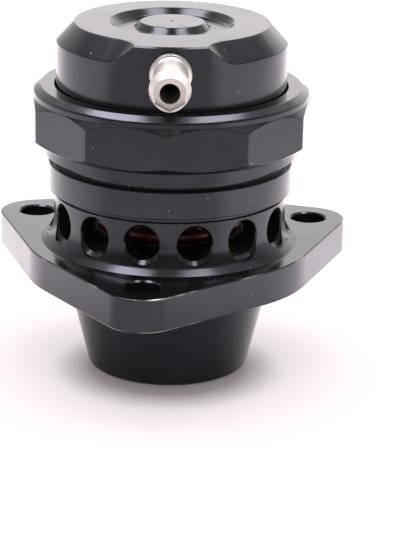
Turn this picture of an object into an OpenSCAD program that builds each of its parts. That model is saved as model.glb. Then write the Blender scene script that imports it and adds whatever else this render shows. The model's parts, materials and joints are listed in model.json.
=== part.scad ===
// Piston blow off valve on a three bolt flange, closed, standing on its inlet spigot.
// The origin is on the valve's axis at the foot of the spigot; the hose nipple points to -Y.
// Turns about the axis are counted from -Y towards +X.

/* [Inlet spigot] */
// Height of the spigot below the flange
spigot_h = 18.1; // [12:0.1:30]
// Radius of the spigot's foot
spigot_foot_r = 15.1; // [14.5:0.1:16]
// Taper of the spigot's side, in degrees from the axis
spigot_taper = 13.4; // [4:0.1:14]
// Rounding of the spigot's foot
spigot_round = 0.7; // [0.3:0.1:1]
// Radius of the inlet bore
inlet_r = 11.5; // [9:0.1:12]

/* [Flange] */
// Thickness of the flange plate
flange_t = 6.2; // [4:0.1:12]
// Radius of the flange between its lobes
flange_core_r = 27; // [25:0.1:29]
// Radius of a lobe round its bolt hole
lobe_r = 7; // [5:0.1:9]
// Radius of the circle that the bolts stand on
bolt_circle_r = 29.6; // [28.5:0.1:34]
// Radius of a bolt hole, for an M6 screw
bolt_hole_r = 3.3; // [2.2:0.1:3.6]
// Angle of the front bolt about the axis
front_bolt_angle = -8.4; // [-20:0.1:20]
// Angle of the right bolt about the axis
right_bolt_angle = 116; // [100:0.1:130]
// Angle of the left bolt about the axis
left_bolt_angle = -119.7; // [-130:0.1:-100]
// Radius of the seal's circle in the flange's underside
flange_seal_r = 22.5; // [22:0.1:23]
// Thickness of the flange seal
flange_seal_t = 2.4; // [1.6:0.1:2.6]
// Depth of the flange seal's groove
flange_groove_depth = 1.9; // [1.4:0.1:2.2]

/* [Vented barrel] */
// Outer radius of the barrel
barrel_r = 21.6; // [20.5:0.1:22.2]
// Height of the barrel from the flange to the collar
barrel_h = 10.1; // [9.5:0.1:16]
// Radius of the sharp rim where the barrel's foot meets the flange
rim_r = 23.85; // [22.8:0.05:24.5]
// Width of the chamfer between the hollow foot and the rim
rim_chamfer = 1; // [0.5:0.05:1.4]
// Radius of the hollow curve at the barrel's foot
foot_curve_r = 5.6; // [4:0.1:7]
// Number of vent holes
vent_count = 14; // [8:1:14]
// Radius of a vent hole
vent_r = 3.15; // [2.2:0.05:3.3]
// Height of the vent holes' centres above the flange
vent_h = 5.1; // [4.8:0.1:5.3]
// Chamfer round the mouth of a vent hole
vent_chamfer = 0.5; // [0.2:0.05:0.6]
// Width of the groove under the collar
undercut_w = 0.9; // [0.4:0.1:1]
// Depth of the groove under the collar
undercut_depth = 0.5; // [0.2:0.1:0.8]

/* [Collar and neck] */
// Step of the collar beyond the thread
collar_step = 0.4; // [0.2:0.05:1]
// Height of the collar
collar_h = 5.1; // [3:0.1:8]
// Bevel on the collar's edges
collar_bevel = 0.25; // [0.1:0.05:0.5]
// Height of the thread relief above the collar
relief_h = 1.9; // [1:0.1:3]
// Depth of the thread relief
relief_depth = 1; // [0.4:0.1:1.4]
// Height of the threaded neck above the relief
thread_h = 5.1; // [4:0.1:8]
// Radius of the thread between neck and lock ring
thread_r = 22.2; // [21.9:0.05:22.5]
// Radius of the bore that the piston slides in
bore_r = 18; // [17.6:0.1:18.4]
// Thickness of the cap seal
cap_seal_t = 1.3; // [1:0.05:1.6]

/* [Seat] */
// Height of the chamber floor above the flange
floor_h = 1.1; // [0.6:0.1:1.4]
// Height of the seat's lip above the chamber floor
seat_lip_h = 2; // [1.6:0.1:2.4]
// Depth of the seat's 45 degree cone
seat_cone_h = 2.2; // [1.8:0.1:2.6]
// Width of the flat land on the seat's lip
seat_land = 1.3; // [0.8:0.1:1.6]

/* [Piston] */
// Radial clearance of the piston in its bore
piston_clearance = 0.05; // [0.03:0.01:0.1]
// Lift of the piston from closed to open
piston_lift = 8; // [4:0.5:9]
// Length of the piston's guided land
land_h = 9.4; // [8.4:0.1:11]
// Height of the tapered skirt between nose and land
skirt_h = 4; // [3:0.1:6]
// Step of the collar beyond the nose seal's circle
nose_collar_step = 1; // [0.8:0.05:1.4]
// Height of the collar above the nose seal
nose_collar_h = 0.8; // [0.5:0.1:1.4]
// Step of the nose seal's circle beyond the inlet bore
nose_seal_step = 1.1; // [0.9:0.05:1.3]
// Thickness of the nose seal
nose_seal_t = 2.4; // [2:0.1:2.6]
// Clearance between the nose seal and its seat
seat_clearance = 0.1; // [0.05:0.01:0.3]
// Radius of the spring pocket
pocket_r = 10.5; // [9.8:0.1:11.5]
// Thickness of the piston's crown under the spring
crown_t = 3; // [2:0.1:4]
// Thickness of the piston seal
piston_seal_t = 1.8; // [1.4:0.1:2.2]
// Width of the guide ring
guide_w = 2; // [1.5:0.1:2.5]
// Thickness of the guide ring
guide_t = 1; // [0.8:0.1:1.4]

/* [Spring] */
// Radial room between the coil and the piston's pocket
coil_clearance = 1.2; // [1:0.05:1.3]
// Thickness of the wire
wire_t = 1.8; // [1.2:0.1:1.8]
// Number of open turns
open_turns = 5; // [3:1:6]

/* [Top cap] */
// Step from the clamped flange in to the cap's side
cap_step = 1; // [0.8:0.05:1.4]
// Height of the cap from the neck to its top face
cap_h = 18.75; // [18:0.05:24]
// Radial play of the clamped flange inside the lock ring
cap_flange_play = 0.15; // [0.1:0.05:0.3]
// Height of the clamped flange
cap_flange_h = 2.8; // [2:0.1:3.4]
// Width of the bevel round the top, measured across the axis
cap_bevel_w = 3.25; // [2.6:0.05:4.2]
// Height of the bevel round the top
cap_bevel_h = 3.55; // [2.5:0.05:4.5]
// Half angle of the lug that the bevel leaves at the front
lug_half_angle = 33; // [28:0.5:40]
// Radius of the bevelling cutter at its small end
cutter_r = 4.5; // [3.5:0.1:6]
// Outer radius of the ring groove in the top face
groove_r = 11.45; // [10.5:0.05:12.5]
// Radius of the boss inside the ring groove
boss_r = 5.8; // [5:0.05:6.5]
// Depth of the ring groove
groove_depth = 1.2; // [0.8:0.1:1.4]
// Slope of the groove's sides, as run across the full depth
groove_run = 1.1; // [0.6:0.1:1.4]
// Radius of the centre mark on the boss
centre_mark_r = 0.4; // [0.2:0.05:0.8]
// Thickness of the roof above the spring
roof_t = 3.65; // [3:0.05:4.5]
// Radius of the upper chamber in the cap
chamber_r = 15.5; // [14.5:0.1:16]
// Room above the open piston
stop_clearance = 1; // [0.3:0.1:2]
// Radial room between the cap's lower chamber and the piston
chamber_clearance = 0.4; // [0.2:0.05:0.8]
// Height of the spring's register under the roof
register_h = 2; // [1:0.1:3]
// Radial room between the spring and its register
register_clearance = 0.3; // [0.2:0.05:0.5]

/* [Lock ring] */
// Number of flats round the ring
ring_flats = 11; // [8:1:12]
// Step from the plain skirt out to the middle of a flat
ring_flat_step = 2.05; // [1.6:0.05:3]
// Angle of the ring's front corner about the axis
ring_angle = -1.3; // [-15:0.1:15]
// Height of the whole ring
ring_h = 12.5; // [11.6:0.1:13]
// Height of the lip that clamps the cap
ring_lip_h = 4.4; // [3:0.1:5]
// Radial clearance between the ring's lip and the cap
lip_clearance = 0.3; // [0.15:0.05:0.5]
// Width of the bevel round the ring's top face
ring_bevel_w = 1.4; // [0.8:0.05:2]
// Height of the bevel round the ring's top face
ring_bevel_h = 0.95; // [0.5:0.05:1.4]
// Height of the plain round band under the bevel
ring_band_h = 0.5; // [0.2:0.05:1]
// Depth of the round band behind the middle of a flat
ring_band_inset = 0.05; // [0.02:0.01:0.3]
// Radial allowance of the round blank beyond the corners
ring_blank_spare = 0.3; // [0.1:0.05:0.5]
// Height of the upper corner chamfer, out to the round blank
ring_corner_h = 2.6; // [1.4:0.05:3]
// Wall of the plain skirt under the flats
ring_skirt_wall = 1.05; // [0.7:0.05:1.6]
// Height of the plain skirt
ring_skirt_h = 2.1; // [1:0.1:3]
// Height of the lower corner chamfer, out to the round blank
ring_low_chamfer_h = 1.7; // [0.8:0.1:2.2]
// Step from the skirt out to where the lower chamfer starts
ring_low_step = 1.1; // [0.6:0.05:1.6]

/* [Hose nipple] */
// Height of the nipple's axis below the cap's top face
nipple_drop = 4.75; // [4.5:0.05:6]
// Radius of the nipple's base disc
nipple_base_r = 3.7; // [3.5:0.05:4]
// Thickness of the base disc
nipple_base_t = 1; // [0.6:0.1:1.5]
// Radius of the nipple's neck
nipple_neck_r = 3.1; // [2.8:0.05:3.3]
// Length of the neck between base disc and barb
nipple_neck_l = 8.2; // [5:0.1:14]
// Largest radius of the barb
barb_r = 3.65; // [3.4:0.05:4.5]
// Radius of the barb at its mouth
barb_mouth_r = 2.95; // [2.85:0.05:3.2]
// Length of the barb's taper
barb_l = 4.4; // [3:0.1:7]
// Length of the back slope of the barb
barb_back_l = 0.9; // [0.4:0.1:1.5]
// Radius of the nipple's bore
nipple_bore_r = 1.75; // [1.2:0.05:2]
// Width across the flats of the key socket in the mouth
nipple_key = 4.6; // [4.2:0.1:4.7]
// Depth of the key socket
nipple_key_depth = 1; // [0.5:0.1:2]
// Radius of the nipple's threaded shank
shank_r = 3; // [2.4:0.05:3]
// Length of the shank inside the cap
shank_l = 4.6; // [3.5:0.1:4.8]
// Thickness of the sealing washer under the base disc
washer_t = 0.6; // [0.4:0.05:1]
// Depth of the flat seat below the edge of the round lug
spotface_depth = 0.15; // [0.1:0.05:0.4]

/* [Hidden] */
$fn = 96;

// Clearance of a ring in its groove or a screw in its thread
seat_gap = 0.05;
// Lip that holds the nose seal from below: its cover over the seal, and its height
nose_lip_cover = 0.6;
nose_lip_h = 0.4;
// Tapered tip of the nose and the hollow inside it
nose_tip_h = 1;
nose_hollow_r = 7;
// Plain ribs at the two ends of the piston's land, and the step above its skirt
land_rib = 1;
land_step = 1.6;
// Radial room round the nipple's base disc on its flat seat
spotface_margin = 0.25;
// Overrun of a cut past the face that it opens
over = 1;
// Overrun of a vent's chamfer past the barrel's surface
vent_lead = 0.15;
// Steps along the barrel's hollow foot and along a small rounding
foot_steps = 8;
round_steps = 4;
black = "#26252a";
bright = "#c9c6c2";

// Heights along the axis
flange_z = spigot_h;
flange_top = flange_z + flange_t;
vent_z = flange_top + vent_h;
collar_z = flange_top + barrel_h;
collar_top = collar_z + collar_h;
thread_z = collar_top + relief_h;
neck_top = thread_z + thread_h;
floor_z = flange_top + floor_h;
seat_top = floor_z + seat_lip_h;
seat_low = seat_top - seat_cone_h;
cap_top = neck_top + cap_h;
cap_flange_top = neck_top + cap_flange_h;
ring_top = cap_flange_top + ring_lip_h;
ring_z = ring_top - ring_h;
roof_z = cap_top - roof_t;

// Spigot and flange
spigot_top_r = spigot_foot_r + spigot_h * tan(spigot_taper);
bolt_angles = [front_bolt_angle, right_bolt_angle, left_bolt_angle];
tangent_angle = acos((flange_core_r - lobe_r) / bolt_circle_r);
flange_groove_w = flange_seal_t + 2 * seat_gap;

// Hollow curve at the barrel's foot: it leaves the barrel upright, would end on the rim,
// and a chamfer cuts off its end
rim_end = asin(1 - (rim_r - barrel_r) / foot_curve_r);
foot_end = asin(1 - (rim_r - rim_chamfer - barrel_r) / foot_curve_r);
foot_curve_z = flange_top + foot_curve_r * cos(rim_end);
foot_curve = [for (i = [0:foot_steps]) let (a = foot_end + (90 - foot_end) * i / foot_steps)
    [barrel_r + foot_curve_r * (1 - sin(a)), foot_curve_z - foot_curve_r * cos(a)]];

// Seat, nose and land of the piston
seat_top_r = inlet_r + seat_cone_h;
nose_seal_r = inlet_r + nose_seal_step;
nose_collar_r = nose_seal_r + nose_collar_step;
nose_seal_half = nose_seal_t / 2;
nose_seal_z = nose_seal_r - inlet_r + seat_low + sqrt(2) * (nose_seal_half + seat_clearance);
nose_root_r = nose_seal_r - nose_seal_half - seat_gap;
nose_groove_low = nose_seal_z - nose_seal_half - seat_gap;
nose_groove_top = nose_seal_z + nose_seal_half + seat_gap;
nose_lip_r = nose_root_r + nose_lip_cover;
nose_tip_r = nose_lip_r - nose_tip_h - nose_lip_h;
nose_z = nose_groove_low - nose_lip_h - nose_tip_h;
skirt_z = nose_groove_top + nose_collar_h;
land_z = skirt_z + skirt_h;
land_top = land_z + land_h;
land_r = bore_r - piston_clearance;
pocket_z = skirt_z + crown_t - nose_collar_h;
guide_z = land_z + land_rib;
guide_root_r = land_r - guide_t;
piston_groove_w = piston_seal_t + 2 * seat_gap;
piston_groove_z = land_top - land_rib - piston_groove_w;
piston_seal_r = land_r - piston_seal_t / 2;
piston_root_r = piston_seal_r - piston_seal_t / 2 - seat_gap;

// Neck, cap, lock ring and nipple
collar_r = thread_r + collar_step;
cap_seal_r = (bore_r + thread_r) / 2;
ring_thread_r = thread_r + seat_gap;
cap_flange_r = ring_thread_r - cap_flange_play;
cap_r = cap_flange_r - cap_step;
cap_top_r = cap_r - cap_bevel_w;
ring_skirt_r = ring_thread_r + ring_skirt_wall;
ring_low_r = ring_skirt_r + ring_low_step;
ring_flat_r = ring_skirt_r + ring_flat_step;
chamber_step_z = land_top + piston_lift + stop_clearance;
coil_r = pocket_r - coil_clearance - wire_t / 2;
register_r = coil_r - wire_t / 2 - register_clearance;
ring_lip_r = cap_r + lip_clearance;
ring_corner_r = ring_flat_r / cos(180 / ring_flats);
ring_blank_r = ring_corner_r + ring_blank_spare;
ring_band_r = ring_flat_r - ring_band_inset;
ring_face_r = ring_band_r - ring_bevel_w;
cutter_slope = (cap_r - cap_top_r) / cap_bevel_h;
nipple_z = cap_top - nipple_drop;
washer_r = nipple_base_r;
spotface_r = nipple_base_r + spotface_margin;
nipple_seat = sqrt(cap_r * cap_r - spotface_r * spotface_r) - spotface_depth;
barb_z = nipple_base_t + nipple_neck_l;
barb_top_z = barb_z + barb_back_l;
mouth_z = barb_top_z + barb_l;
neck_curve_r = nipple_base_r - nipple_neck_r;

// A point at a radius and a turn about the axis
function at_turn(r, turn) = [r * sin(turn), -r * cos(turn)];

module ring_seal(r, t, z) {
    translate([0, 0, z])
        rotate_extrude()
            translate([r, 0])
                circle(d = t);
}

module tube(outer_r, inner_r, h) {
    difference() {
        cylinder(r = outer_r, h = h);
        translate([0, 0, -over])
            cylinder(r = inner_r, h = h + 2 * over);
    }
}

// One arm of the flange: the straight sides touch the core circle and the lobe's circle
module flange_arm(turn) {
    polygon([at_turn(flange_core_r, turn - tangent_angle),
             at_turn(bolt_circle_r, turn) + at_turn(lobe_r, turn - tangent_angle),
             at_turn(bolt_circle_r, turn) + at_turn(lobe_r, turn + tangent_angle),
             at_turn(flange_core_r, turn + tangent_angle),
             [0, 0]]);
    translate(at_turn(bolt_circle_r, turn))
        circle(r = lobe_r);
}

module flange_plate() {
    translate([0, 0, flange_z])
        linear_extrude(flange_t) {
            circle(r = flange_core_r);
            for (turn = bolt_angles)
                flange_arm(turn);
        }
}

// Turned shape of the body, with its through bore
module body_turning() {
    foot_r = spigot_foot_r - spigot_round;
    rotate_extrude()
        polygon(concat(
            [[inlet_r, 0]],
            [for (i = [0:round_steps]) let (a = 90 * i / round_steps)
                [foot_r + spigot_round * sin(a), spigot_round * (1 - cos(a))]],
            [[spigot_top_r, flange_z],
             [rim_r, flange_z],
             [rim_r, flange_top]],
            foot_curve,
            [[barrel_r, collar_z - undercut_w],
             [barrel_r - undercut_depth, collar_z - undercut_w],
             [barrel_r - undercut_depth, collar_z],
             [collar_r - collar_bevel, collar_z],
             [collar_r, collar_z + collar_bevel],
             [collar_r, collar_top - collar_bevel],
             [collar_r - collar_bevel, collar_top],
             [thread_r - relief_depth, collar_top],
             [thread_r - relief_depth, thread_z],
             [thread_r, thread_z],
             [thread_r, neck_top],
             [bore_r, neck_top],
             [bore_r, floor_z],
             [seat_top_r + seat_land, floor_z],
             [seat_top_r + seat_land, seat_top],
             [seat_top_r, seat_top],
             [inlet_r, seat_low]]));
}

// A round hole with a chamfered mouth, which runs on straight through the flared foot
module vent(turn) {
    mouth_r = vent_r + vent_chamfer + vent_lead;
    rotate([0, 0, turn - 90])
        translate([0, 0, vent_z])
            rotate([0, 90, 0])
                rotate_extrude()
                    polygon([[0, bore_r - over],
                             [vent_r, bore_r - over],
                             [vent_r, barrel_r - vent_chamfer],
                             [mouth_r, barrel_r + vent_lead],
                             [mouth_r, rim_r + over],
                             [0, rim_r + over]]);
}

module valve_body() {
    color(black)
        difference() {
            union() {
                body_turning();
                difference() {
                    flange_plate();
                    translate([0, 0, flange_z - over])
                        cylinder(r = spigot_top_r, h = flange_t + 2 * over);
                }
            }
            for (turn = bolt_angles)
                translate([each at_turn(bolt_circle_r, turn), flange_z - over])
                    cylinder(r = bolt_hole_r, h = flange_t + 2 * over);
            for (i = [0:vent_count - 1])
                vent((i + 0.5) * 360 / vent_count);
            translate([0, 0, flange_z - over])
                tube(flange_seal_r + flange_groove_w / 2, flange_seal_r - flange_groove_w / 2,
                     flange_groove_depth + over);
            translate([0, 0, neck_top - cap_seal_t - seat_gap])
                tube(cap_seal_r + cap_seal_t / 2 + seat_gap, cap_seal_r - cap_seal_t / 2 - seat_gap,
                     cap_seal_t + seat_gap + over);
        }
}

module flange_seal() {
    color("#1c1c1c")
        ring_seal(flange_seal_r, flange_seal_t,
                  flange_z + flange_groove_depth - flange_seal_t / 2 - seat_gap);
}

module cap_seal() {
    color("#1c1c1c")
        ring_seal(cap_seal_r, cap_seal_t, neck_top - cap_seal_t / 2);
}

// The turned ring is a nut whose corners the chamfers take off above and below
module lock_ring() {
    color(black)
        intersection() {
            rotate_extrude()
                polygon([[ring_thread_r, ring_z],
                         [ring_skirt_r, ring_z],
                         [ring_skirt_r, ring_z + ring_skirt_h],
                         [ring_low_r, ring_z + ring_skirt_h],
                         [ring_blank_r, ring_z + ring_skirt_h + ring_low_chamfer_h],
                         [ring_blank_r, ring_top - ring_bevel_h - ring_band_h - ring_corner_h],
                         [ring_band_r, ring_top - ring_bevel_h - ring_band_h],
                         [ring_band_r, ring_top - ring_bevel_h],
                         [ring_face_r, ring_top],
                         [ring_lip_r, ring_top],
                         [ring_lip_r, cap_flange_top],
                         [ring_thread_r, cap_flange_top]]);
            translate([0, 0, ring_z - over])
                rotate([0, 0, ring_angle - 90])
                    cylinder(r = ring_corner_r, h = ring_h + 2 * over, $fn = ring_flats);
        }
}

module cap_turning() {
    rotate_extrude()
        polygon([[bore_r + chamber_clearance, neck_top],
                 [cap_flange_r, neck_top],
                 [cap_flange_r, cap_flange_top],
                 [cap_r, cap_flange_top],
                 [cap_r, cap_top],
                 [groove_r, cap_top],
                 [groove_r - groove_run, cap_top - groove_depth],
                 [boss_r + groove_run, cap_top - groove_depth],
                 [boss_r, cap_top],
                 [0, cap_top],
                 [0, roof_z - register_h],
                 [register_r, roof_z - register_h],
                 [register_r, roof_z],
                 [chamber_r, roof_z],
                 [chamber_r, chamber_step_z],
                 [bore_r + chamber_clearance, chamber_step_z]]);
}

// The bevel runs round the top and stops short of the lug, where the cutter leaves a round end
module cap_bevel() {
    cut_h = cap_bevel_h + over;
    rotate([0, 0, lug_half_angle - 90])
        rotate_extrude(angle = 360 - 2 * lug_half_angle)
            polygon([[cap_r, cap_top - cap_bevel_h],
                     [cap_r + cutter_r, cap_top - cap_bevel_h],
                     [cap_r + cutter_r, cap_top + over],
                     [cap_r - cutter_slope * cut_h, cap_top + over]]);
    for (side = [-1, 1])
        translate([each at_turn(cap_r + cutter_r, side * lug_half_angle), cap_top - cap_bevel_h])
            cylinder(r1 = cutter_r, r2 = cutter_r + cutter_slope * cut_h, h = cut_h);
}

module along_nipple() {
    translate([0, 0, nipple_z])
        rotate([90, 0, 0])
            children();
}

module top_cap() {
    color(black)
        difference() {
            cap_turning();
            cap_bevel();
            along_nipple() {
                translate([0, 0, nipple_seat])
                    cylinder(r = spotface_r, h = cap_r);
                translate([0, 0, chamber_r - over])
                    cylinder(r = shank_r + seat_gap, h = cap_r);
            }
            translate([0, 0, cap_top - centre_mark_r])
                cylinder(r1 = 0, r2 = 2 * centre_mark_r, h = 2 * centre_mark_r);
        }
}

module hose_nipple() {
    color(bright)
        along_nipple()
            translate([0, 0, nipple_seat + washer_t])
                difference() {
                    rotate_extrude()
                        polygon(concat(
                            [[nipple_bore_r, -washer_t - shank_l],
                             [shank_r, -washer_t - shank_l],
                             [shank_r, 0],
                             [nipple_base_r, 0],
                             [nipple_base_r, nipple_base_t]],
                            [for (i = [0:round_steps]) let (a = 90 * i / round_steps)
                                [nipple_neck_r + neck_curve_r * (1 - sin(a)),
                                 nipple_base_t + neck_curve_r * (1 - cos(a))]],
                            [[nipple_neck_r, barb_z],
                             [barb_r, barb_top_z],
                             [barb_mouth_r, mouth_z],
                             [nipple_bore_r, mouth_z]]));
                    translate([0, 0, mouth_z - nipple_key_depth])
                        rotate([0, 0, 90])
                            cylinder(r = nipple_key / sqrt(3), h = nipple_key_depth + over, $fn = 6);
                }
}

module nipple_washer() {
    color("#8c8a86")
        along_nipple()
            translate([0, 0, nipple_seat])
                tube(washer_r, shank_r + seat_gap, washer_t);
}

module piston() {
    color("#3a393d")
        rotate_extrude()
            polygon([[0, nose_z + nose_tip_h],
                     [nose_hollow_r, nose_z + nose_tip_h],
                     [nose_hollow_r, nose_z],
                     [nose_tip_r, nose_z],
                     [nose_lip_r, nose_groove_low - nose_lip_h],
                     [nose_lip_r, nose_groove_low],
                     [nose_root_r, nose_groove_low],
                     [nose_root_r, nose_groove_top],
                     [nose_collar_r, nose_groove_top],
                     [nose_collar_r, skirt_z],
                     [land_r - land_step, land_z],
                     [land_r, land_z],
                     [land_r, guide_z],
                     [guide_root_r, guide_z],
                     [guide_root_r, guide_z + guide_w],
                     [land_r, guide_z + guide_w],
                     [land_r, piston_groove_z],
                     [piston_root_r, piston_groove_z],
                     [piston_root_r, piston_groove_z + piston_groove_w],
                     [land_r, piston_groove_z + piston_groove_w],
                     [land_r, land_top],
                     [pocket_r, land_top],
                     [pocket_r, pocket_z],
                     [0, pocket_z]]);
}

module piston_seal() {
    color("#a81c22")
        ring_seal(piston_seal_r, piston_seal_t, piston_groove_z + piston_groove_w / 2);
}

module guide_ring() {
    color("#e8e4da")
        translate([0, 0, guide_z + seat_gap])
            tube(land_r, guide_root_r + seat_gap, guide_w - 2 * seat_gap);
}

module nose_seal() {
    color("#a81c22")
        ring_seal(nose_seal_r, nose_seal_t, nose_seal_z);
}

// Round wire coil: one closed turn at each end and open turns between them
module spring() {
    sides = 8;
    steps = 24;
    turns = open_turns + 2;
    low = pocket_z + seat_gap + wire_t / 2;
    high = roof_z - seat_gap - wire_t / 2;
    pitch = (high - low - 2 * wire_t) / open_turns;
    last = turns * steps;
    function rise(u) = u < 1 ? u * wire_t
        : u < turns - 1 ? wire_t + (u - 1) * pitch
        : high - low - (turns - u) * wire_t;
    points = [for (i = [0:last], j = [0:sides - 1])
        let (u = i / steps, a = 360 * u, b = 360 * j / sides, r = coil_r + wire_t / 2 * cos(b))
        [r * cos(a), r * sin(a), low + rise(u) + wire_t / 2 * sin(b)]];
    wall = [for (i = [0:last - 1], j = [0:sides - 1])
        let (k = (j + 1) % sides)
        [i * sides + j, (i + 1) * sides + j, (i + 1) * sides + k, i * sides + k]];
    first_end = [for (j = [0:sides - 1]) j];
    last_end = [for (j = [sides - 1:-1:0]) last * sides + j];
    color("#b4b2ae")
        polyhedron(points = points, faces = concat([first_end, last_end], wall), convexity = 10);
}

valve_body();
flange_seal();
cap_seal();
lock_ring();
top_cap();
hose_nipple();
nipple_washer();
piston();
piston_seal();
guide_ring();
nose_seal();
spring();
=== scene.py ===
import json
import math

import bmesh
import bpy
from mathutils import Matrix, Vector

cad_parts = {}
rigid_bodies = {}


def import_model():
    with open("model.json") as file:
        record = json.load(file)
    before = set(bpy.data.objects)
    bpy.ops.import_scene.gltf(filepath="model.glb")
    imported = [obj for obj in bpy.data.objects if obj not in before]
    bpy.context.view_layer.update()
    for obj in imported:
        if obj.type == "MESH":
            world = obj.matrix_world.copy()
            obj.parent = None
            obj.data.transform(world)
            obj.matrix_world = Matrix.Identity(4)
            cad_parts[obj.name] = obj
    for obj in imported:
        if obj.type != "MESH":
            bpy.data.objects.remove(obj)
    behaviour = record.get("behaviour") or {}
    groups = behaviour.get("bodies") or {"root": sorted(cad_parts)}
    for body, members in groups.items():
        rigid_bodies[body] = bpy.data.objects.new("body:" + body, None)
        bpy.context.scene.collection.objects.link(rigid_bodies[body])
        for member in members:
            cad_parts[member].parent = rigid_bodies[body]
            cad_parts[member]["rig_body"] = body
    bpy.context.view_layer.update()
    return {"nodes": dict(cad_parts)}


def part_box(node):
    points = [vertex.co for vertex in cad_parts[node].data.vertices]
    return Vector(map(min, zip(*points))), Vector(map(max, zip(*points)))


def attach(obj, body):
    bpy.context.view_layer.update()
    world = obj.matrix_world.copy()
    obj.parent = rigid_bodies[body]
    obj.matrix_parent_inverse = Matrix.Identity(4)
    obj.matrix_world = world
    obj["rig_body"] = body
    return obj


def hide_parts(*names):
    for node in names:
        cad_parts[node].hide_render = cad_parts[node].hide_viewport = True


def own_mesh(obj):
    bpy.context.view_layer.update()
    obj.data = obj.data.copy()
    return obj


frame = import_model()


# Valve body: inlet spigot, three bolt flange, vented barrel and threaded neck in one piece.
# It is turned and milled from aluminium bar, its edges are broken by hand, and it is
# anodised black; the other pieces are fixed to it or slide in it.

MM = 0.001
inlet_r, spigot_low_r, spigot_top_r = 11.5, 14.93, 19.41
flange_low, flange_top = 18.1, 24.3
rim_r, rim_chamfer, barrel_r, foot_curve_r, foot_steps = 23.85, 1.0, 21.6, 5.6, 12
undercut_r, undercut_low, collar_r, collar_low, collar_top = 21.1, 33.5, 22.6, 34.4, 39.5
relief_r, thread_r, thread_low, neck_top = 21.2, 22.2, 41.4, 46.5
neck_groove_in, neck_groove_out, neck_groove_low = 19.4, 20.8, 45.15
bore_r, bore_floor = 18.0, 25.4
seat_out_r, seat_in_r, seat_top, seat_low = 15.0, 13.7, 27.4, 25.2

# The hollow curve at the barrel's foot runs out in a straight chamfer on to the flange
foot_start = math.asin(1 - (rim_r - rim_chamfer - barrel_r) / foot_curve_r)
foot_z = flange_top + foot_curve_r * math.cos(math.asin(1 - (rim_r - barrel_r) / foot_curve_r))
foot_curve = []
for k in range(foot_steps + 1):
    angle = foot_start + (math.pi / 2 - foot_start) * k / foot_steps
    foot_curve.append((barrel_r + foot_curve_r * (1 - math.sin(angle)),
                       foot_z - foot_curve_r * math.cos(angle), 0))


def rounded(corners):
    """Closed outline of corners in mm: radius, height, and how far the edge there is broken."""
    curve_steps, longest_share = 4, 0.45
    points = [Vector((r, z)) for r, z, _ in corners]
    outline = []
    for i, corner in enumerate(points):
        size = corners[i][2]
        if size == 0:
            outline.append(corner)
            continue
        back, onward = points[i - 1] - corner, points[(i + 1) % len(points)] - corner
        reach = min(size, longest_share * back.length, longest_share * onward.length)
        start = corner + back.normalized() * reach
        end = corner + onward.normalized() * reach
        for k in range(curve_steps + 1):
            t = k / curve_steps
            outline.append(start * (1 - t) ** 2 + corner * 2 * t * (1 - t) + end * t * t)
    return outline


# The turning reaches into the flange, where the two are one metal
sunk, root_up, root_down = 0.1, 1.5, 2
spigot_slope = (spigot_top_r - spigot_low_r) / flange_low
root_r = spigot_top_r + root_up * spigot_slope
root_low, root_top = flange_low + root_up, flange_top - root_down
body_outline = rounded([
    (inlet_r, 0, 0.3), (spigot_low_r, 0, 0.6), (root_r, root_low, 0), (root_r, root_top, 0),
    (rim_r + sunk, root_top, 0), (rim_r + sunk, flange_top - sunk, 0), *foot_curve,
    (barrel_r, undercut_low, 0.1), (undercut_r, undercut_low, 0.06), (undercut_r, collar_low, 0.06),
    (collar_r, collar_low, 0.28), (collar_r, collar_top, 0.28), (relief_r, collar_top, 0.08),
    (relief_r, thread_low, 0.08), (thread_r, thread_low, 0.28), (thread_r, neck_top, 0.28),
    (neck_groove_out, neck_top, 0.12), (neck_groove_out, neck_groove_low, 0.1),
    (neck_groove_in, neck_groove_low, 0.1), (neck_groove_in, neck_top, 0.12),
    (bore_r, neck_top, 0.2), (bore_r, bore_floor, 0.2), (seat_out_r, bore_floor, 0.15),
    (seat_out_r, seat_top, 0.15), (seat_in_r, seat_top, 0.15), (inlet_r, seat_low, 0.2)])


def loft(name, columns, ends=False):
    """Skin over columns of points, joined into a ring, or closed with a face at each end."""
    weld = 1e-8
    rows, count = len(columns[0]), len(columns)
    form = bmesh.new()
    spots = [[form.verts.new(point) for point in column] for column in columns]
    for i in range(count - 1 if ends else count):
        here, onward = spots[i], spots[(i + 1) % count]
        for k in range(rows):
            form.faces.new((here[k - 1], onward[k - 1], onward[k], here[k]))
    if ends:
        form.faces.new(spots[0])
        form.faces.new(spots[-1])
    bmesh.ops.remove_doubles(form, verts=form.verts, dist=weld)
    bmesh.ops.dissolve_degenerate(form, edges=form.edges, dist=weld)
    bmesh.ops.recalc_face_normals(form, faces=form.faces)
    mesh = bpy.data.meshes.new(name)
    form.to_mesh(mesh)
    form.free()
    return mesh


def swept(name, section, turns, place=Matrix()):
    """Skin over sections round an axis: radius and height in mm at each turn, from -Y towards +X."""
    columns = [[place @ Vector((r * math.sin(turn), -r * math.cos(turn), z)) * MM for r, z in section(turn)]
               for turn in turns]
    return loft(name, columns)


def evenly(count):
    """Turns in even steps round a circle."""
    return [2 * math.pi * k / count for k in range(count)]


def turned(name, outline, steps, place=Matrix()):
    """A form with the same outline all the way round, as a lathe makes it."""
    return swept(name, lambda turn: outline, evenly(steps), place)


body_steps = 288
body_form = turned("turned_valve_body", body_outline, body_steps)

# The flange is a round core with three arms, each a lobe round its bolt hole with straight sides
flange_core_r, flange_inner_r, lobe_r, bolt_circle_r, lobe_steps = 27.0, 15.5, 7.0, 29.6, 24
bolt_turns = [math.radians(a) for a in (-8.4, 116.0, -119.7)]
seal_groove_in, seal_groove_out, seal_groove_top = 21.25, 23.75, 20.0
tangent = math.acos((flange_core_r - lobe_r) / bolt_circle_r)


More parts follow.
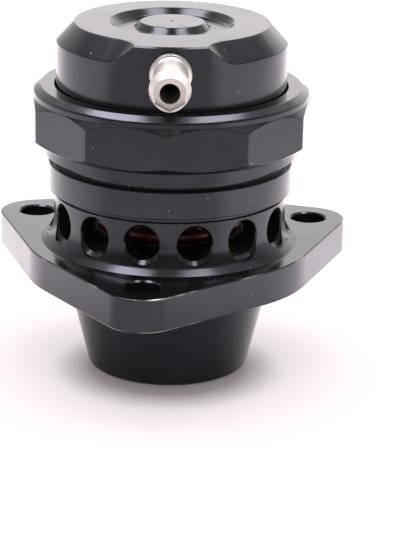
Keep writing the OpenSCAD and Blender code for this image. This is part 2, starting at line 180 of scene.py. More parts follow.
def lobe_turn(angle):
    """Turn about the valve of the point at an angle about a bolt hole, on its lobe's edge."""
    return math.atan2(lobe_r * math.sin(angle), bolt_circle_r + lobe_r * math.cos(angle))


def flange_edge(turn):
    """Radius of the flange's edge: the round core, or an arm's straight side and round lobe."""
    off = min(abs(turn - bolt) for bolt in bolt_turns)
    if off < lobe_turn(tangent):
        return bolt_circle_r * math.cos(off) + math.sqrt(lobe_r ** 2 - (bolt_circle_r * math.sin(off)) ** 2)
    return flange_core_r / math.cos(max(tangent - off, 0))


def flange_section(turn):
    """The flange's section at a turn, with the seal's groove in its underside."""
    edge = flange_edge(turn)
    return rounded([
        (flange_inner_r, flange_top, 0), (edge, flange_top, 0.3), (edge, flange_low, 0.3),
        (seal_groove_out, flange_low, 0.15), (seal_groove_out, seal_groove_top, 0.1),
        (seal_groove_in, seal_groove_top, 0.1), (seal_groove_in, flange_low, 0.15),
        (flange_inner_r, flange_low, 0)])


def turns_with(closer):
    """Turns 2 degrees apart all the way round, and closer ones where an edge changes fast."""
    return sorted({math.radians(a) for a in range(-180, 180, 2)} | set(closer))


def worked(mesh, tool, operation):
    """The mesh joined with or cut by another closed mesh."""
    pair = [bpy.data.objects.new(item.name, item) for item in (mesh, tool)]
    for item in pair:
        bpy.context.scene.collection.objects.link(item)
    step = pair[0].modifiers.new("step", "BOOLEAN")
    step.object, step.operation, step.solver = pair[1], operation, "MANIFOLD"
    bpy.context.view_layer.update()
    shaped = pair[0].evaluated_get(bpy.context.evaluated_depsgraph_get())
    result = bpy.data.meshes.new_from_object(shaped)
    for item in pair:
        bpy.data.objects.remove(item)
    return result


flange_turns = turns_with(bolt + lobe_turn(tangent * k / lobe_steps) for bolt in bolt_turns
                          for k in range(-lobe_steps, lobe_steps + 1))
body_form = worked(body_form, swept("flange", flange_section, flange_turns), "UNION")


def at_bolt(turn):
    """Middle of the bolt hole at a turn, seen from above."""
    return Vector((bolt_circle_r * math.sin(turn), -bolt_circle_r * math.cos(turn)))


bolt_hole_r, hole_break, spare, drill_steps = 3.3, 0.3, 1.0, 72
bolt_drill = [(0, flange_low - spare), (bolt_hole_r + hole_break + spare, flange_low - spare),
              (bolt_hole_r, flange_low + hole_break), (bolt_hole_r, flange_top - hole_break),
              (bolt_hole_r + hole_break + spare, flange_top + spare), (0, flange_top + spare)]
for bolt in bolt_turns:
    over_hole = Matrix.Translation((*at_bolt(bolt), 0))
    body_form = worked(body_form, turned("drill", bolt_drill, drill_steps, over_hole), "DIFFERENCE")

# The vents start half a step round, so that the web between two of them faces the front
vent_count, vent_z, vent_r, vent_mouth_r, vent_chamfer_at = 14, 29.4, 3.15, 3.8, 21.1
vent_drill = [(0, bore_r - spare), (vent_r, bore_r - spare), (vent_r, vent_chamfer_at),
              (vent_mouth_r, vent_chamfer_at + vent_mouth_r - vent_r), (vent_mouth_r, rim_r + spare),
              (0, rim_r + spare)]
for vent in range(vent_count):
    vent_turn = (vent + 0.5) * 2 * math.pi / vent_count
    outwards = (Matrix.Translation((0, 0, vent_z)) @ Matrix.Rotation(vent_turn, 4, "Z")
                @ Matrix.Rotation(math.pi / 2, 4, "X"))
    body_form = worked(body_form, turned("drill", vent_drill, drill_steps, outwards), "DIFFERENCE")

# Slivers from the cuts are cleared, and the flange's outer edges are marked for the wear, and the painted
# highlight, that show there
sharp_turn, beside_hole, sliver = math.radians(12), bolt_hole_r + spare, 0.002 * MM
form = bmesh.new()
form.from_mesh(body_form)
bmesh.ops.remove_doubles(form, verts=form.verts, dist=sliver)
bmesh.ops.dissolve_degenerate(form, edges=form.edges, dist=sliver)
wear_and_highlight = form.verts.layers.float.new("edge_wear_and_highlight")
for edge in form.edges:
    if edge.is_manifold and edge.calc_face_angle_signed() > sharp_turn:
        for corner in edge.verts:
            spot = corner.co.xy / MM
            clear = min((spot - at_bolt(bolt)).length for bolt in bolt_turns) > beside_hole
            corner[wear_and_highlight] = float(spot.length > rim_r + spare and clear)
form.to_mesh(body_form)
form.free()


def linear(code):
    """Linear colour of an sRGB hex code."""
    parts = [int(code[i:i + 2], 16) / 255 for i in (1, 3, 5)]
    return [p / 12.92 if p <= 0.04045 else ((p + 0.055) / 1.055) ** 2.4 for p in parts] + [1.0]


def add(tree, kind, inputs=None, **settings):
    """A new node with its settings; an input takes a value or another node's output."""
    node = tree.nodes.new(kind)
    for name, value in settings.items():
        setattr(node, name, value)
    for socket, value in (inputs or {}).items():
        if isinstance(value, bpy.types.NodeSocket):
            tree.links.new(value, node.inputs[socket])
        else:
            node.inputs[socket].default_value = value
    return node


def fresh_material(name):
    """A new material, its node tree, its shader, and the place on the piece that its patterns follow."""
    material = bpy.data.materials.new(name)
    material.use_nodes = True
    tree = material.node_tree
    return material, tree, tree.nodes["Principled BSDF"], add(tree, "ShaderNodeTexCoord").outputs["Object"]


def black_anodised_aluminium():
    """Dyed oxide over turned metal: charcoal face on, pale at a slant, with fine tool lines and dust."""
    material, tree, shader, place = fresh_material("black_anodised_aluminium")

    # Tool lines run round the axis; the real 0.1 mm feed is drawn at 0.45 mm so that it shows
    feed = 0.45 * MM
    across = add(tree, "ShaderNodeVectorMath", {0: place, 1: (1, 1, 0)}, operation="MULTIPLY").outputs[0]
    radius = add(tree, "ShaderNodeVectorMath", {0: across}, operation="LENGTH").outputs["Value"]
    height = add(tree, "ShaderNodeSeparateXYZ", {0: place}).outputs["Z"]
    travel = add(tree, "ShaderNodeMath", {0: radius, 1: height}, operation="ADD").outputs[0]
    lines = add(tree, "ShaderNodeTexNoise", {"W": travel, "Scale": 1 / feed, "Detail": 2.0},
                noise_dimensions="1D").outputs["Fac"]
    # Grit of the etch before dyeing: 0.05 mm in the metal, drawn at 0.25 mm so that it shows
    grit = add(tree, "ShaderNodeTexNoise",
               {"Vector": place, "Scale": 1 / (0.25 * MM), "Detail": 3.0}).outputs["Fac"]
    # Handling leaves faint cloudy patches about 9 mm wide
    clouds = add(tree, "ShaderNodeTexNoise",
                 {"Vector": place, "Scale": 1 / (9 * MM), "Detail": 4.0}).outputs["Fac"]
    # Specks of dust 0.2 mm wide lie about 3 mm apart
    apart = add(tree, "ShaderNodeTexVoronoi", {"Vector": place, "Scale": 1 / (3 * MM)}).outputs["Distance"]
    dust = add(tree, "ShaderNodeMapRange", {"Value": apart, "From Min": 0.025, "From Max": 0.04,
                                            "To Min": 1.0, "To Max": 0.0}).outputs[0]
    # Knocks leave metal without its oxide in stretches about 7 mm long on the flange's edges; the pale colour
    # there is partly this wear and partly a painted highlight of the edges catching the overhead softboxes
    knocks = add(tree, "ShaderNodeTexNoise",
                 {"Vector": place, "W": 2.3, "Scale": 1 / (7 * MM), "Detail": 6.0},
                 noise_dimensions="4D").outputs["Fac"]
    patchy = add(tree, "ShaderNodeMapRange", {"Value": knocks, "From Min": 0.52, "From Max": 0.66}).outputs[0]
    edge = add(tree, "ShaderNodeAttribute", attribute_name="edge_wear_and_highlight").outputs["Fac"]
    bare_and_highlight = add(tree, "ShaderNodeMath", {0: patchy, 1: edge}, operation="MULTIPLY").outputs[0]

    dye = add(tree, "ShaderNodeMix", {"Factor": clouds, "A": linear("#303034"), "B": linear("#3b3b40")},
              data_type="RGBA")
    dusty = add(tree, "ShaderNodeMix", {"Factor": dust, "A": dye.outputs["Result"], "B": linear("#b4b1ad")},
                data_type="RGBA")
    # Pale edge colour: partly wear, partly painted highlight
    tone = add(tree, "ShaderNodeMix", {"Factor": bare_and_highlight, "A": dusty.outputs["Result"], "B": linear("#b2b0ae")},
               data_type="RGBA")
    tree.links.new(tone.outputs["Result"], shader.inputs["Base Color"])

    # The oxide's gloss varies a little with the handling, and grit and dust dull it
    grit_dulls, dust_dulls = 0.06, 0.4
    sheen = add(tree, "ShaderNodeMapRange", {"Value": clouds, "From Min": 0.3, "From Max": 0.7,
                                             "To Min": 0.13, "To Max": 0.2})
    fine = add(tree, "ShaderNodeMath", {0: grit, 1: grit_dulls, 2: sheen.outputs[0]},
               operation="MULTIPLY_ADD")
    dull = add(tree, "ShaderNodeMath", {0: dust, 1: dust_dulls, 2: fine.outputs[0]},
               operation="MULTIPLY_ADD")
    tree.links.new(dull.outputs[0], shader.inputs["Roughness"])
    ridged = add(tree, "ShaderNodeBump", {"Height": lines, "Strength": 0.25, "Distance": 0.004 * MM})
    gritty = add(tree, "ShaderNodeBump", {"Height": grit, "Strength": 0.3, "Distance": 0.004 * MM,
                                          "Normal": ridged.outputs[0]})
    tree.links.new(gritty.outputs[0], shader.inputs["Normal"])
    # The dyed oxide over the metal scatters a little
    shader.inputs["Metallic"].default_value = 0.75
    return material


def put(name, mesh, node, material):
    """Sets a finished mesh in place of a CAD node, on the node's own body, with its flats shaded flat."""
    crease, large_faces_lead = math.radians(31), 100
    mesh.materials.clear()
    mesh.materials.append(material)
    mesh.shade_smooth()
    mesh.set_sharp_from_angle(angle=crease)
    piece = bpy.data.objects.new(name, mesh)
    bpy.context.scene.collection.objects.link(piece)
    normals = piece.modifiers.new("normals", "WEIGHTED_NORMAL")
    normals.mode = "FACE_AREA"
    normals.weight = large_faces_lead
    normals.keep_sharp = True
    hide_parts(node)
    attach(piece, frame["nodes"][node]["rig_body"])
    return piece


anodised = black_anodised_aluminium()
put("turned_valve_body", body_form, "valve_body", anodised)


# Flange seal: an O-ring moulded in black nitrile rubber.
# It is pressed into the groove under the flange, and seals the valve to the pipe that carries it.

def moulded_rubber(name, deep, pale, roughness):
    """Moulded rubber: a soft dull sheen with a dusty bloom and fine mould grain."""
    material, tree, shader, place = fresh_material(name)
    # The bloom gathers in patches about 3 mm wide
    bloom = add(tree, "ShaderNodeTexNoise",
                {"Vector": place, "Scale": 1 / (3 * MM), "Detail": 4.0}).outputs["Fac"]
    # Grain of the mould: 0.05 mm, drawn at 0.2 mm so that it shows
    grain = add(tree, "ShaderNodeTexNoise",
                {"Vector": place, "Scale": 1 / (0.2 * MM), "Detail": 2.0}).outputs["Fac"]
    tone = add(tree, "ShaderNodeMix", {"Factor": bloom, "A": linear(deep), "B": linear(pale)},
               data_type="RGBA")
    tree.links.new(tone.outputs["Result"], shader.inputs["Base Color"])
    bloom_dulls = 0.2
    dull = add(tree, "ShaderNodeMapRange",
               {"Value": bloom, "To Min": roughness, "To Max": roughness + bloom_dulls})
    tree.links.new(dull.outputs[0], shader.inputs["Roughness"])
    skin = add(tree, "ShaderNodeBump", {"Height": grain, "Strength": 0.3, "Distance": 0.01 * MM})
    tree.links.new(skin.outputs[0], shader.inputs["Normal"])
    shader.inputs["IOR"].default_value = 1.52
    return material


ring_steps, cord_sides = 160, 32


def o_ring(node, material):
    """A round seal of the size and in the place of its CAD node."""
    low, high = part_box(node)
    cord_r = (high[2] - low[2]) / 2 / MM
    seal_r, middle = high[0] / MM - cord_r, (high[2] + low[2]) / 2 / MM
    cord = [(seal_r + cord_r * math.cos(a), middle + cord_r * math.sin(a)) for a in evenly(cord_sides)]
    put("moulded_" + node, turned(node, cord, ring_steps), node, material)


nitrile = moulded_rubber("black_nitrile_rubber", "#121212", "#1f1e1e", 0.4)
o_ring("flange_seal", nitrile)


# Piston: a turned aluminium cup that slides in the barrel's bore, anodised with the body.
# Its nose closes the inlet, its land has grooves for the guide ring and a seal, and the
# spring stands in the pocket in its top.

nose_z, nose_tip_r, nose_hollow_r, nose_hollow = 25.49, 10.55, 7.0, 26.49
nose_lip_r, nose_lip_low, nose_groove_r, nose_groove_low, nose_groove_top = 11.95, 26.49, 11.35, 26.89, 29.39
nose_collar_r, skirt_low, land_r, land_low, land_step, land_top = 13.6, 30.19, 17.95, 34.19, 1.6, 43.59
guide_groove_r, guide_low, guide_h = 16.95, 35.19, 2.0
piston_groove_r, piston_groove_low, piston_groove_h = 16.1, 40.69, 1.9
guide_high, piston_groove_high = guide_low + guide_h, piston_groove_low + piston_groove_h
pocket_r, pocket_floor, piston_break = 10.5, 32.39, 0.15
piston_corners = [
    (0, nose_hollow), (nose_hollow_r, nose_hollow), (nose_hollow_r, nose_z), (nose_tip_r, nose_z),
    (nose_lip_r, nose_lip_low), (nose_lip_r, nose_groove_low), (nose_groove_r, nose_groove_low),
    (nose_groove_r, nose_groove_top), (nose_collar_r, nose_groove_top), (nose_collar_r, skirt_low),
    (land_r - land_step, land_low), (land_r, land_low), (land_r, guide_low), (guide_groove_r, guide_low),
    (guide_groove_r, guide_high), (land_r, guide_high), (land_r, piston_groove_low),
    (piston_groove_r, piston_groove_low), (piston_groove_r, piston_groove_high), (land_r, piston_groove_high),
    (land_r, land_top), (pocket_r, land_top), (pocket_r, pocket_floor), (0, pocket_floor)]
piston_outline = rounded([(r, z, piston_break if r else 0) for r, z in piston_corners])
put("turned_piston", turned("turned_piston", piston_outline, ring_steps), "piston", anodised)


# Nose seal and piston seal: two O-rings moulded in red silicone rubber.
# One lies in the groove of the piston's nose and closes on the seat; the other lies in the
# upper groove of its land and runs in the bore.

# Their red is painted dark, a painted shade for the dim inside of the barrel where they show through the
# vents
silicone = moulded_rubber("red_silicone_rubber_painted_shade", "#3e080d", "#540f16", 0.25)
o_ring("nose_seal", silicone)
o_ring("piston_seal", silicone)


# Guide ring: a band turned from PTFE, off white and waxy.
# It sits in the piston's lower groove and keeps the piston's metal off the bore.

def turned_ptfe():
    """Waxy off-white plastic with faint turning marks."""
    material, tree, shader, place = fresh_material("turned_ptfe")
    # The tool tears the soft plastic every 0.2 mm or so; drawn at 0.8 mm so that it shows
    marks = add(tree, "ShaderNodeTexNoise",
                {"Vector": place, "Scale": 1 / (0.8 * MM), "Detail": 3.0}).outputs["Fac"]
    tone = add(tree, "ShaderNodeMix", {"Factor": marks, "A": linear("#dcd7ca"), "B": linear("#ece8de")},
               data_type="RGBA")
    tree.links.new(tone.outputs["Result"], shader.inputs["Base Color"])
    skin = add(tree, "ShaderNodeBump", {"Height": marks, "Strength": 0.2, "Distance": 0.01 * MM})
    tree.links.new(skin.outputs[0], shader.inputs["Normal"])
    shader.inputs["Roughness"].default_value = 0.45
    shader.inputs["IOR"].default_value = 1.38
    return material


def band(inner_r, outer_r, low, high, size):
    """Outline of a plain ring with its four edges broken alike."""
    return rounded([(inner_r, low, size), (outer_r, low, size), (outer_r, high, size), (inner_r, high, size)])


guide_fit, guide_break = 0.05, 0.12
guide_outline = band(guide_groove_r + guide_fit, land_r, guide_low + guide_fit, guide_high - guide_fit,
                     guide_break)
put("turned_guide_ring", turned("turned_guide_ring", guide_outline, ring_steps), "guide_ring", turned_ptfe())


# Spring: drawn steel wire, cold wound with closed ends and oiled.
# It stands between the piston's pocket and the cap, and shortens as the piston lifts.

def drawn_spring_steel():
    """Bright drawn wire, oiled: grey metal with uneven streaks of oil."""
    material, tree, shader, place = fresh_material("drawn_spring_steel")
    # The die leaves streaks of about 0.1 mm; drawn at 0.6 mm so that they show
    streaks = add(tree, "ShaderNodeTexNoise",
                  {"Vector": place, "Scale": 1 / (0.6 * MM), "Detail": 3.0}).outputs["Fac"]
    tone = add(tree, "ShaderNodeMix", {"Factor": streaks, "A": linear("#8e8c88"), "B": linear("#b4b2ae")},
               data_type="RGBA")
    tree.links.new(tone.outputs["Result"], shader.inputs["Base Color"])
    oil = add(tree, "ShaderNodeMapRange", {"Value": streaks, "To Min": 0.22, "To Max": 0.4})
    tree.links.new(oil.outputs[0], shader.inputs["Roughness"])
    shader.inputs["Metallic"].default_value = 1.0
    return material


coil_r, wire_r = 8.4 * MM, 0.9 * MM
coil_low, coil_high = 33.34 * MM, 60.65 * MM
open_turns, closed_turns = 5, 2
coil_steps, wire_sides = 48, 14
coil_turns = open_turns + closed_turns
coil_pitch = (coil_high - coil_low - closed_turns * 2 * wire_r) / open_turns


def coil_rise(turn):
    """Height of the wire's middle above its start: one closed turn at each end, open between."""
    if turn < 1:
        return turn * 2 * wire_r
    if turn < coil_turns - 1:
        return 2 * wire_r + (turn - 1) * coil_pitch
    return coil_high - coil_low - (coil_turns - turn) * 2 * wire_r


wire_rings = []
for i in range(coil_turns * coil_steps + 1):
    turn = i / coil_steps
    angle = 2 * math.pi * turn
    ring = []
    for side in evenly(wire_sides):
        reach = coil_r + wire_r * math.cos(side)
        ring.append((reach * math.cos(angle), reach * math.sin(angle),
                     coil_low + coil_rise(turn) + wire_r * math.sin(side)))
    wire_rings.append(ring)
spring = put("wound_spring", loft("wound_spring", wire_rings, ends=True), "spring", drawn_spring_steel())
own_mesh(spring)


# Cap seal: an O-ring moulded in the same black nitrile rubber as the flange seal.
# It lies in the groove in the top of the neck and is squeezed by the cap.

o_ring("cap_seal", nitrile)


# Top cap: turned aluminium with a milled bevel that stops at the front lug, anodised black.
# The lock ring clamps its flange to the neck, so it can be set to any turn.

cap_r, cap_top, cap_top_r, bevel_h, lug_break, bevel_break = 21.1, 65.25, 17.85, 3.55, 0.3, 0.12
cap_flange_r, cap_flange_low, cap_flange_top, cap_break = 22.1, 46.5, 49.3, 0.15
groove_r, boss_r, groove_depth, groove_run, mark_r, mark_depth = 11.45, 5.8, 1.2, 1.1, 0.4, 0.15
chamber_r, chamber_low_r, chamber_step, roof = 15.5, 18.4, 52.59, 61.6
register_r, register_h = 7.2, 2.0
lug_half, cutter_r, bevel_rows = math.radians(33), 4.5, 7
cutter_slope = (cap_r - cap_top_r) / bevel_h
cutter_at = cap_r + cutter_r
cutter_top = cutter_r + cutter_slope * bevel_h
beside_edge = 0.6


def bevel_corners(turn):
    """The cap's top edge at a turn: broken along the lug, and bevelled by a taper cutter elsewhere."""
    off = min(abs(turn) - lug_half, 0)
    within = cutter_top ** 2 - (cutter_at * math.sin(off)) ** 2
    inner_r = min(cutter_at * math.cos(off) - math.sqrt(max(within, 0)), cap_r - lug_break)
    corners = []
    for k in range(bevel_rows + 1):
        r = inner_r + (cap_r - inner_r) * k / bevel_rows
        gap = math.sqrt(r ** 2 + cutter_at ** 2 - 2 * r * cutter_at * math.cos(off))
        milled = cap_top - bevel_h + (gap - cutter_r) / cutter_slope
        corners.append((r, min(cap_top, milled, cap_top - lug_break + cap_r - r),
                        bevel_break if k in (0, bevel_rows) else 0))
    return corners


crown_corners = [
    (0, cap_top - mark_depth, 0), (mark_r, cap_top, 0.1), (boss_r, cap_top, 0.2),
    (boss_r + groove_run, cap_top - groove_depth, 0.25),
    (groove_r - groove_run, cap_top - groove_depth, 0.25), (groove_r, cap_top, 0.2),
    (cap_top_r - beside_edge, cap_top, 0)]
side_corners = [
    (cap_r, cap_top - bevel_h - beside_edge, 0), (cap_r, cap_flange_top, cap_break),
    (cap_flange_r, cap_flange_top, cap_break), (cap_flange_r, cap_flange_low, cap_break),
    (chamber_low_r, cap_flange_low, cap_break), (chamber_low_r, chamber_step, cap_break),
    (chamber_r, chamber_step, cap_break), (chamber_r, roof, cap_break), (register_r, roof, cap_break),
    (register_r, roof - register_h, cap_break), (0, roof - register_h, 0)]


def cap_section(turn):
    """The cap's section at a turn, from the middle of its top down its side to the middle of its roof."""
    return rounded(crown_corners + bevel_corners(turn) + side_corners)


# Each scooped end of the bevel lies between the cutter's middle, where it stops, and its edge
end_steps = 36
lug_end = lug_half - math.acos((cap_r ** 2 + cutter_at ** 2 - cutter_top ** 2) / (2 * cap_r * cutter_at))
cap_turns = turns_with(side * (lug_end + (lug_half - lug_end) * k / end_steps) for side in (-1, 1)
                       for k in range(end_steps + 1))
cap_form = swept("milled_top_cap", cap_section, cap_turns)

# The lug is spotfaced and tapped for the nipple, from the front
nipple_z, nipple_seat, spotface_r, tapped_r, tapped_end, nipple_steps = 60.5, 20.5768, 3.95, 3.05, 14.0, 96
along_nipple = Matrix.Translation((0, 0, nipple_z)) @ Matrix.Rotation(math.pi / 2, 4, "X")
lug_drill = [(0, tapped_end), (tapped_r, tapped_end), (tapped_r, nipple_seat), (spotface_r, nipple_seat),
             (spotface_r, cap_r + spare), (0, cap_r + spare)]
cap_form = worked(cap_form, turned("drill", lug_drill, nipple_steps, along_nipple), "DIFFERENCE")
put("milled_top_cap", cap_form, "top_cap", anodised)


# Lock ring: a turned aluminium nut with milled flats and chamfered corners, anodised black.
# It screws on the neck and its lip holds the cap down.

ring_flats, ring_flat_r, ring_front = 11, 25.35, math.radians(-1.3)
ring_low, ring_top = 41.2, 53.7
ring_thread_r, ring_lip_r, ring_skirt_r, ring_skirt_h = 22.25, 21.4, 23.3, 2.1
ring_band_r, ring_band_h, ring_bevel_h, ring_face_r = 25.3, 1.05, 0.95, 23.9
ring_corner_h, ring_low_r, ring_low_h, blank_spare = 1.66, 24.4, 1.7, 0.3
half_flat = math.pi / ring_flats
ring_blank_r = ring_flat_r / math.cos(half_flat) + blank_spare


def ring_section(turn):
    """The ring's section: chamfers above and below cut each flat in a curve."""
    flat = ring_flat_r / math.cos((turn - ring_front) % (2 * half_flat) - half_flat)
    skirt_top = ring_low + ring_skirt_h
    bevel_low = ring_top - ring_bevel_h
    band_low = bevel_low - ring_band_h
    low = skirt_top + ring_low_h * (flat - ring_low_r) / (ring_blank_r - ring_low_r)
    high = band_low - ring_corner_h * (flat - ring_band_r) / (ring_blank_r - ring_band_r)
    return rounded([
        (ring_thread_r, ring_low, 0.1), (ring_skirt_r, ring_low, 0.12), (ring_skirt_r, skirt_top, 0.1),
        (ring_low_r, skirt_top, 0.12), (flat, low, 0.1), (flat, high, 0.08), (ring_band_r, band_low, 0.1),
        (ring_band_r, bevel_low, 0.35), (ring_face_r, ring_top, 0.12), (ring_lip_r, ring_top, 0.18),
        (ring_lip_r, cap_flange_top, 0.1), (ring_thread_r, cap_flange_top, 0.1)])


corner_break, flat_steps = math.radians(0.25), 22
ring_turns = [ring_front + (2 * flat + 1) * half_flat + (half_flat - corner_break) * (2 * k / flat_steps - 1)
              for flat in range(ring_flats) for k in range(flat_steps + 1)]
put("milled_lock_ring", swept("milled_lock_ring", ring_section, ring_turns), "lock_ring", anodised)


# Nipple washer: a thin sealing ring of brass, satin nickel plated like the nipple.
# It is pinched between the nipple's base and the spotface of the cap's lug.

def satin_nickel_plate():
    """Satin plating on turned brass: warm silver, with soft lines round the barb."""
    material, tree, shader, place = fresh_material("satin_nickel_plate")
    # Turning lines run round the nipple; the real 0.08 mm feed is drawn at 0.3 mm so that it shows
    along = add(tree, "ShaderNodeSeparateXYZ", {0: place}).outputs["Y"]
    lines = add(tree, "ShaderNodeTexNoise", {"W": along, "Scale": 1 / (0.3 * MM), "Detail": 2.0},
                noise_dimensions="1D").outputs["Fac"]
    # The plating's satin is finer than 0.05 mm; drawn at 0.4 mm so that it shows
    satin = add(tree, "ShaderNodeTexNoise",
                {"Vector": place, "Scale": 1 / (0.4 * MM), "Detail": 3.0}).outputs["Fac"]
    tone = add(tree, "ShaderNodeMix", {"Factor": satin, "A": linear("#cec7c1"), "B": linear("#e1dad4")},
               data_type="RGBA")
    tree.links.new(tone.outputs["Result"], shader.inputs["Base Color"])
    gloss = add(tree, "ShaderNodeMapRange", {"Value": satin, "To Min": 0.38, "To Max": 0.5})
    tree.links.new(gloss.outputs[0], shader.inputs["Roughness"])
    ridged = add(tree, "ShaderNodeBump", {"Height": lines, "Strength": 0.3, "Distance": 0.006 * MM})
    tree.links.new(ridged.outputs[0], shader.inputs["Normal"])
    shader.inputs["Metallic"].default_value = 1.0
    return material


plated = satin_nickel_plate()
washer_r, washer_t, washer_break = 3.7, 0.6, 0.08
shoulder = nipple_seat + washer_t
washer_outline = band(tapped_r, washer_r, nipple_seat, shoulder, washer_break)
put("sealing_washer", turned("sealing_washer", washer_outline, nipple_steps, along_nipple), "nipple_washer",
    plated)


# Hose nipple: a barb turned from brass and satin nickel plated.
# It is screwed into the cap's lug, over its washer, with a hex key in its mouth.

shank_r, base_r, base_t, neck_r, barb_r, mouth_r = 3.0, 3.7, 1.0, 3.1, 3.65, 2.95
shank_back, neck_end, barb_at, mouth = (shoulder + out for out in (-5.2, 10.0, 10.9, 14.5))
nipple_bore_r, key_half, key_depth = 1.75, 2.5, 1.0
fillet, fillet_rows, barb_steps = base_r - neck_r, 5, 120
fillet_corners = [(neck_r + fillet * (1 - math.sin(a)), shoulder + base_t + fillet * (1 - math.cos(a)), 0)
                  for a in (math.pi / 2 * k / fillet_rows for k in range(1, fillet_rows + 1))]


def nipple_section(turn):
    """Radius and distance out from the valve's axis; the key socket's radius goes with the turn."""
    sixth = math.pi / 3
    socket = key_half / math.cos(turn % sixth - sixth / 2)
    return rounded([
        (nipple_bore_r, shank_back, 0.1), (shank_r, shank_back, 0.1), (shank_r, shoulder, 0.05),
        (base_r, shoulder, 0.12), (base_r, shoulder + base_t, 0.12), *fillet_corners,
        (neck_r, neck_end, 0.15), (barb_r, barb_at, 0.2), (mouth_r, mouth, 0.12),
        (socket, mouth, 0.08), (socket, mouth - key_depth, 0.06), (nipple_bore_r, mouth - key_depth, 0.1)])


put("turned_hose_nipple", swept("turned_hose_nipple", nipple_section, evenly(barb_steps), along_nipple),
    "hose_nipple", plated)


# Floor: a wide sheet of white paper, uncoated and matt, laid flat under the valve.
# It keeps a narrow soft shadow round the valve's foot, partly a painted shadow where its glow is left out,
# and is white beyond it.

def white_paper_painted_glow():
    """Bright matt paper with painted light: it glows to white a little way off the valve, leaving a painted
    shadow nearer, and glows into the metal as a painted reflection.
    """
    material = bpy.data.materials.new("white_paper_painted_glow")
    material.use_nodes = True
    tree = material.node_tree
    tree.nodes.clear()
    place = add(tree, "ShaderNodeTexCoord").outputs["Object"]
    ray = add(tree, "ShaderNodeLightPath").outputs
    mirrored = add(tree, "ShaderNodeMath", {0: ray["Is Glossy Ray"], 1: ray["Is Transmission Ray"]},
                   operation="MAXIMUM").outputs[0]

    # Painted shadow: to the camera the glow rises over a few millimetres, round a point just in front of the
    # valve's axis
    in_front = 5 * MM
    ahead = add(tree, "ShaderNodeVectorMath", {0: place, 1: (0, in_front, 0)}).outputs[0]
    reach = add(tree, "ShaderNodeVectorMath", {0: ahead}, operation="LENGTH").outputs["Value"]
    glow_past_painted_shadow = add(tree, "ShaderNodeMapRange", {"Value": reach, "From Min": 14 * MM, "From Max": 22 * MM,
                                            "To Min": 0.0, "To Max": 0.42}).outputs[0]

    # Painted reflection: the paper glows only to rays mirrored by the metal, brightest beside and behind the
    # valve, a little more so on the right
    rightwards = 0.3
    spot = add(tree, "ShaderNodeSeparateXYZ", {0: place}).outputs
    width = add(tree, "ShaderNodeMath", {0: spot["X"]}, operation="ABSOLUTE").outputs[0]
    aside = add(tree, "ShaderNodeMath", {0: spot["X"], 1: rightwards, 2: width},
                operation="MULTIPLY_ADD").outputs[0]
    away = add(tree, "ShaderNodeMath", {0: aside, 1: spot["Y"]}, operation="ADD").outputs[0]
    beside = add(tree, "ShaderNodeMapRange", {"Value": away, "From Min": 4 * MM, "From Max": 80 * MM,
                                              "To Min": 0.0, "To Max": 1.2}).outputs[0]
    # In front the painted reflection is a dimmer band, which starts clear of the valve and fades further out
    before = add(tree, "ShaderNodeMapRange", {"Value": reach, "From Min": 40 * MM, "From Max": 85 * MM,
                                              "To Min": 0.0, "To Max": 0.6}).outputs[0]
    beyond = add(tree, "ShaderNodeMapRange", {"Value": reach, "From Min": 85 * MM, "From Max": 220 * MM,
                                              "To Min": 1.0, "To Max": 0.2}).outputs[0]
    bright = add(tree, "ShaderNodeMath", {0: before, 1: beyond, 2: beside},
                 operation="MULTIPLY_ADD").outputs[0]

    painted_reflection = add(tree, "ShaderNodeMath", {0: mirrored, 1: bright}, operation="MULTIPLY").outputs[0]
    glow = add(tree, "ShaderNodeMath", {0: ray["Is Camera Ray"], 1: glow_past_painted_shadow, 2: painted_reflection},
               operation="MULTIPLY_ADD").outputs[0]
    matt = add(tree, "ShaderNodeBsdfDiffuse", {"Color": linear("#efe7eb")})
    lit = add(tree, "ShaderNodeEmission", {"Color": linear("#fffafe"), "Strength": glow})
    both = add(tree, "ShaderNodeAddShader", {0: matt.outputs[0], 1: lit.outputs[0]})
    add(tree, "ShaderNodeOutputMaterial", {"Surface": both.outputs[0]})
    return material


floor_half, floor_gap = 3.0, 0.02 * MM
floor_corners = [(x * floor_half, y * floor_half, -floor_gap)
                 for x, y in ((-1, -1), (1, -1), (1, 1), (-1, 1))]
sheet = bpy.data.meshes.new("paper_floor")
sheet.from_pydata(floor_corners, [], [(0, 1, 2, 3)])
sheet.materials.append(white_paper_painted_glow())
floor = bpy.data.objects.new("paper_floor", sheet)
bpy.context.scene.collection.objects.link(floor)


# Studio light: softboxes, which are lamps behind white cloth, hung behind and above the valve.
# They are there for the metal to mirror: one behind for the level faces, two long ones overhead
# for the bright edges, and two dim ones further out. Matt faces are lit by the room.

# Each row: name, place and size in metres, tilt in degrees from straight down, radiance and tint
for name, place, tilt, size, radiance, tint in (
        ("softbox_back", (0.3, 0.85, 0.33), 71, (1.2, 0.45), 1.05, "#fff8fb"),
        ("softbox_left", (-0.33, 0.03, 0.84), 0, (0.36, 0.64), 12.0, "#f6f6ff"),
        ("softbox_right", (0.25, 0.03, 0.84), 0, (0.26, 0.64), 10.0, "#f6f6ff"),
        ("softbox_far_left", (-0.65, 0.3, 0.86), 0, (0.6, 1.3), 0.7, "#f6f6ff"),
        ("softbox_far_right", (0.65, 0.3, 0.86), 0, (0.6, 1.3), 0.7, "#f6f6ff")):
    lamp = bpy.data.lights.new(name, "AREA")
    lamp.shape = "RECTANGLE"
    lamp.size, lamp.size_y = size
    lamp.energy = radiance * math.pi * size[0] * size[1]
    lamp.color = linear(tint)[:3]
    softbox = bpy.data.objects.new(name, lamp)
    bpy.context.scene.collection.objects.link(softbox)
    softbox.location = place
    softbox.rotation_euler = (-math.radians(tilt), 0, 0)
    softbox.visible_camera = False
    softbox.visible_diffuse = False


# Room: white walls and ceiling round the table, painted matt, which light the valve evenly.
# The light is stronger from behind, and the metal mirrors the walls white and the ceiling grey.

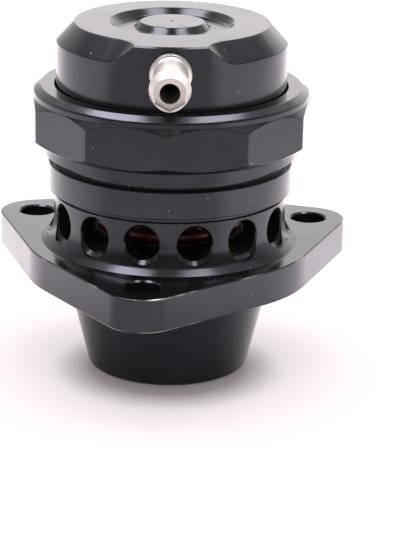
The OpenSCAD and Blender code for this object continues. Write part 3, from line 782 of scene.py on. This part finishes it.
world = bpy.data.worlds.new("white_room")
bpy.context.scene.world = world
world.use_nodes = True
room = world.node_tree
room.nodes.clear()
facing = add(room, "ShaderNodeTexCoord").outputs["Generated"]
toward = add(room, "ShaderNodeSeparateXYZ", {0: facing}).outputs
light = add(room, "ShaderNodeMapRange", {"Value": toward["Y"], "From Min": -1.0, "From Max": 1.0,
                                         "To Min": 0.5, "To Max": 1.5}).outputs[0]
# The grey of the ceiling comes further down in front than behind
wall_slant = -0.45
height = add(room, "ShaderNodeMath", {0: toward["Y"], 1: wall_slant, 2: toward["Z"]},
             operation="MULTIPLY_ADD").outputs[0]
wall = add(room, "ShaderNodeMapRange", {"Value": height, "From Min": 0.1, "From Max": 0.6,
                                        "To Min": 1.0, "To Max": 0.2}).outputs[0]
ray = add(room, "ShaderNodeLightPath").outputs
seen = add(room, "ShaderNodeMath", {0: ray["Is Camera Ray"], 1: ray["Is Glossy Ray"]},
           operation="MAXIMUM").outputs[0]
seen = add(room, "ShaderNodeMath", {0: seen, 1: ray["Is Transmission Ray"]}, operation="MAXIMUM").outputs[0]
strength = add(room, "ShaderNodeMix", {"Factor": seen, "A": light, "B": wall}).outputs[0]
strength = add(room, "ShaderNodeMath", {0: strength, 1: ray["Is Camera Ray"]}, operation="MAXIMUM").outputs[0]
sky = add(room, "ShaderNodeBackground", {"Color": linear("#fffcfe"), "Strength": strength})
add(room, "ShaderNodeOutputWorld", {"Surface": sky.outputs[0]})


# Camera: a long lens on a stand 0.4 m in front of the valve, which looks down on it by 19 degrees.
# Its turn about the valve, pitch, yaw and roll give the photograph's view.

bpy.context.scene.view_settings.view_transform = "Standard"
lens = bpy.data.cameras.new("photo_camera")
lens.sensor_fit = "VERTICAL"
lens.sensor_height = 36
lens.sensor_width = 27
lens.lens = 148.92
lens.clip_start = 0.01
camera = bpy.data.objects.new("photo_camera", lens)
bpy.context.scene.collection.objects.link(camera)
stand_off, eye_height = 0.39815, 0.15380
about, pitch, yaw, roll = (math.radians(a) for a in (0.4, 18.885, 0.916, 1.165))
camera.matrix_world = (Matrix.Rotation(about, 4, "Z") @ Matrix.Translation((0, -stand_off, eye_height))
                       @ Matrix.Rotation(-yaw, 4, "Z") @ Matrix.Rotation(math.pi / 2 - pitch, 4, "X")
                       @ Matrix.Rotation(roll, 4, "Z"))
bpy.context.scene.camera = camera
